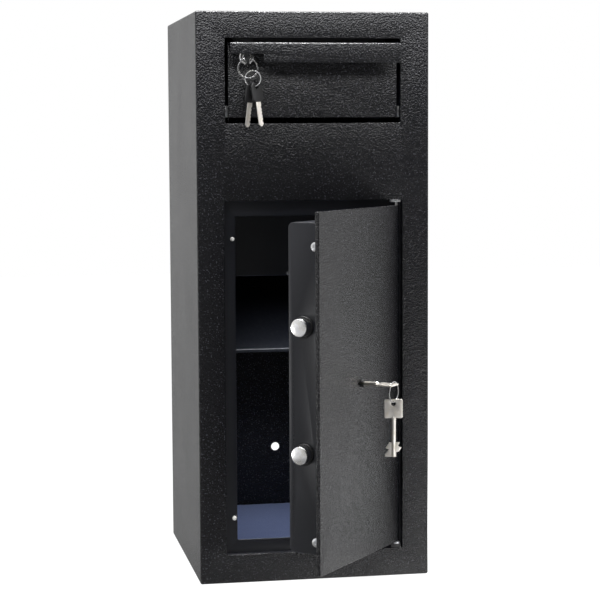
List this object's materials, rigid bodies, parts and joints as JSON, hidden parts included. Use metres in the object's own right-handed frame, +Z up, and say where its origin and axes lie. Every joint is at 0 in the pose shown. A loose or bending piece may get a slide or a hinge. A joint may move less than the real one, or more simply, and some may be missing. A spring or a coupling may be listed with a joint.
{
  "type": "drop safe with deposit drawer",
  "caption": "Tall sheet-steel drop safe with a pull-out deposit drawer over a key-locked vault door that stands part open.",
  "frame": {"origin": "middle of the cabinet's footprint, on the floor", "axes": "+Z up, the front faces -Y, +X to the right of someone who faces the front"},
  "size_m": [0.35, 0.5602, 0.85],
  "materials": {
    "hammered_coat": "fine hammered powder coat, satin",
    "inner_coat": "fine textured powder coat, satin",
    "zinc_plate": "zinc plated, satin",
    "bright_chrome": "polished",
    "key_nickel": "nickel plated, satin",
    "bare_steel": "turned, satin",
    "black_plastic": "moulded, fine grain",
    "blue_felt": "short dense pile",
    "pale_rubber": "matt"
  },
  "bodies": {
    "cabinet": {"front_plate": "hammered_coat", "side_left": "hammered_coat", "side_right": "hammered_coat", "top_panel": "hammered_coat", "bottom_panel": "hammered_coat", "back_panel": "hammered_coat", "door_rebate": "inner_coat", "vault_floor": "inner_coat", "felt_mat": "blue_felt", "baffle_plate": "inner_coat", "deflector_plate": "inner_coat", "baffle_screw": "zinc_plate", "bay_cheek_left": "inner_coat", "bay_cheek_right": "inner_coat", "slide_rail_left": "zinc_plate", "slide_rail_right": "zinc_plate", "flap_rod": "bare_steel", "lock_keeper": "inner_coat", "bolt_strike": "inner_coat", "hinge_block_bottom": "black_plastic", "hinge_washer_bottom": "zinc_plate", "hinge_plate_top": "zinc_plate", "door_buffer_upper": "pale_rubber", "door_buffer_lower": "pale_rubber"},
    "door": {"door_plate": "hammered_coat", "hinge_pin_top": "bare_steel", "hinge_pin_bottom": "bare_steel", "lock_case": "inner_coat", "lever_lock": "zinc_plate", "case_screw_upper": "zinc_plate", "case_screw_lower": "zinc_plate", "bolt_bush_upper": "black_plastic", "bolt_bush_lower": "black_plastic"},
    "door_bolts": {"bolt_upper": "bright_chrome", "bolt_lower": "bright_chrome", "bolt_bar": "zinc_plate"},
    "door_key": {"lock_barrel": "black_plastic", "door_key": "key_nickel"},
    "door_ring": {"door_key_ring": "bare_steel"},
    "spare_key": {"spare_door_key": "key_nickel"},
    "drawer": {"drawer_front": "hammered_coat", "drawer_pull": "hammered_coat", "drawer_tray": "inner_coat", "drawer_runner_left": "zinc_plate", "drawer_runner_right": "zinc_plate", "cam_lock_body": "bright_chrome", "cam_lock_nut": "zinc_plate"},
    "slide_members": {"slide_member_left": "zinc_plate", "slide_member_right": "zinc_plate"},
    "stripper_flap": {"stripper_flap": "inner_coat"},
    "drawer_key": {"cam_lock_plug": "bright_chrome", "lock_cam": "zinc_plate", "drawer_key_head": "black_plastic", "drawer_key_blade": "key_nickel"},
    "large_ring": {"key_ring_large": "bright_chrome"},
    "small_ring": {"key_ring_small": "bright_chrome"},
    "left_key": {"hanging_key_left_head": "black_plastic", "hanging_key_left_blade": "key_nickel"},
    "right_key": {"hanging_key_right_head": "black_plastic", "hanging_key_right_blade": "key_nickel"}
  },
  "joints": [
    {"name": "door_hinge", "type": "hinge", "parent": "cabinet", "child": "door", "pos_m": [0.126, -0.17675, 0.30775], "axis": [0, 0, 1], "range_deg": [-51.5, 48.5]},
    {"name": "door_key_turn", "type": "hinge", "parent": "door", "child": "door_key", "pos_m": [0.05235, -0.27456, 0.30975], "axis": [-0.7826, 0.6225, 0], "range_deg": [0, 90]},
    {"name": "bolt_throw", "type": "slide", "parent": "door", "child": "door_bolts", "axis": [-0.6225, -0.7826, 0], "range_m": [0, 0.016]},
    {"name": "door_ring_hang", "type": "hinge", "parent": "door_key", "child": "door_ring", "pos_m": [0.05235, -0.27456, 0.30975], "axis": [-0.7826, 0.6225, 0], "range_deg": [-91, 0]},
    {"name": "spare_key_swing", "type": "hinge", "parent": "door_ring", "child": "spare_key", "pos_m": [0.09329, -0.29619, 0.28384], "axis": [0.6225, 0.7826, 0], "range_deg": [-20, 20]},
    {"name": "drawer_slide", "type": "slide", "parent": "cabinet", "child": "drawer", "axis": [0, -1, 0], "range_m": [0, 0.18]},
    {"name": "slide_member_travel", "type": "slide", "parent": "cabinet", "child": "slide_members", "axis": [0, -1, 0], "range_m": [0, 0.0905]},
    {"name": "flap_swing", "type": "hinge", "parent": "cabinet", "child": "stripper_flap", "pos_m": [0, -0.148, 0.818], "axis": [1, 0, 0], "range_deg": [0, 75]},
    {"name": "drawer_lock_turn", "type": "hinge", "parent": "drawer", "child": "drawer_key", "pos_m": [-0.1, -0.18, 0.783], "axis": [0, 1, 0], "range_deg": [0, 90]},
    {"name": "large_ring_hang", "type": "hinge", "parent": "drawer_key", "child": "large_ring", "pos_m": [-0.10373, -0.1941, 0.78198], "axis": [0, 1, 0], "range_deg": [-46, 0]},
    {"name": "small_ring_hang", "type": "hinge", "parent": "large_ring", "child": "small_ring", "pos_m": [-0.1, -0.1941, 0.7662], "axis": [0, 1, 0], "range_deg": [-46, 0]},
    {"name": "left_key_swing", "type": "hinge", "parent": "small_ring", "child": "left_key", "pos_m": [-0.09456, -0.19223, 0.74009], "axis": [1, 0, 0], "range_deg": [-5, 5]},
    {"name": "right_key_swing", "type": "hinge", "parent": "small_ring", "child": "right_key", "pos_m": [-0.0878, -0.19408, 0.74093], "axis": [1, 0, 0], "range_deg": [-6, 7]}
  ],
  "couplings": [
    {"joint": "door_key_turn", "follows": "bolt_throw", "rad_per_m": 98.17},
    {"joint": "door_ring_hang", "follows": "bolt_throw", "rad_per_m": -98.17},
    {"joint": "slide_member_travel", "follows": "drawer_slide", "ratio": 0.5},
    {"joint": "large_ring_hang", "follows": "drawer_lock_turn", "ratio": -0.5},
    {"joint": "small_ring_hang", "follows": "drawer_lock_turn", "ratio": -0.5}
  ]
}
